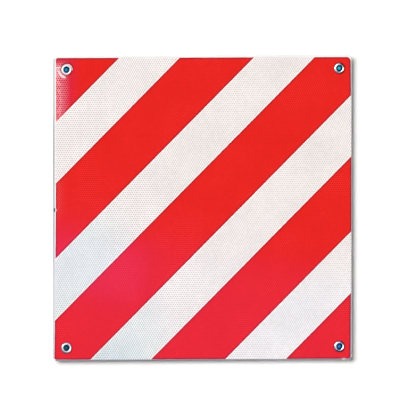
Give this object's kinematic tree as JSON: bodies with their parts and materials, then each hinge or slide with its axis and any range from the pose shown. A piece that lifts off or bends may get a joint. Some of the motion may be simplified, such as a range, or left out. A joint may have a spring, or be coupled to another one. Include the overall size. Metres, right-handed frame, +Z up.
{
  "type": "overhanging load sign",
  "caption": "Flat square warning panel for a load that overhangs a vehicle: folded-edge metal sheet, red and white diagonal reflective stripes, an eyelet in each corner to tie it by.",
  "frame": {"origin": "centre of the face, midway between the four eyelets, in the front plane of the red stripes", "axes": "+X to the reader's right, +Z up, +Y away from the reader, from the face to the back"},
  "size_m": [0.5, 0.0057, 0.5],
  "materials": {
    "aluminium": "mill finish sheet",
    "white_sheeting": "honeycomb retroreflective film",
    "red_film": "glossy transparent film",
    "plated_metal": "bright plated",
    "washer_metal": "dull plated"
  },
  "bodies": {
    "root": {"aluminium_panel": "aluminium", "white_reflective_sheeting": "white_sheeting", "red_stripe_top_left_corner": "red_film", "red_stripe_upper": "red_film", "red_stripe_centre": "red_film", "red_stripe_lower": "red_film", "red_stripe_bottom_right_corner": "red_film", "eyelet_top_left": "plated_metal", "eyelet_top_right": "plated_metal", "eyelet_bottom_left": "plated_metal", "eyelet_bottom_right": "plated_metal", "washer_top_left": "washer_metal", "washer_top_right": "washer_metal", "washer_bottom_left": "washer_metal", "washer_bottom_right": "washer_metal"}
  },
  "joints": []
}
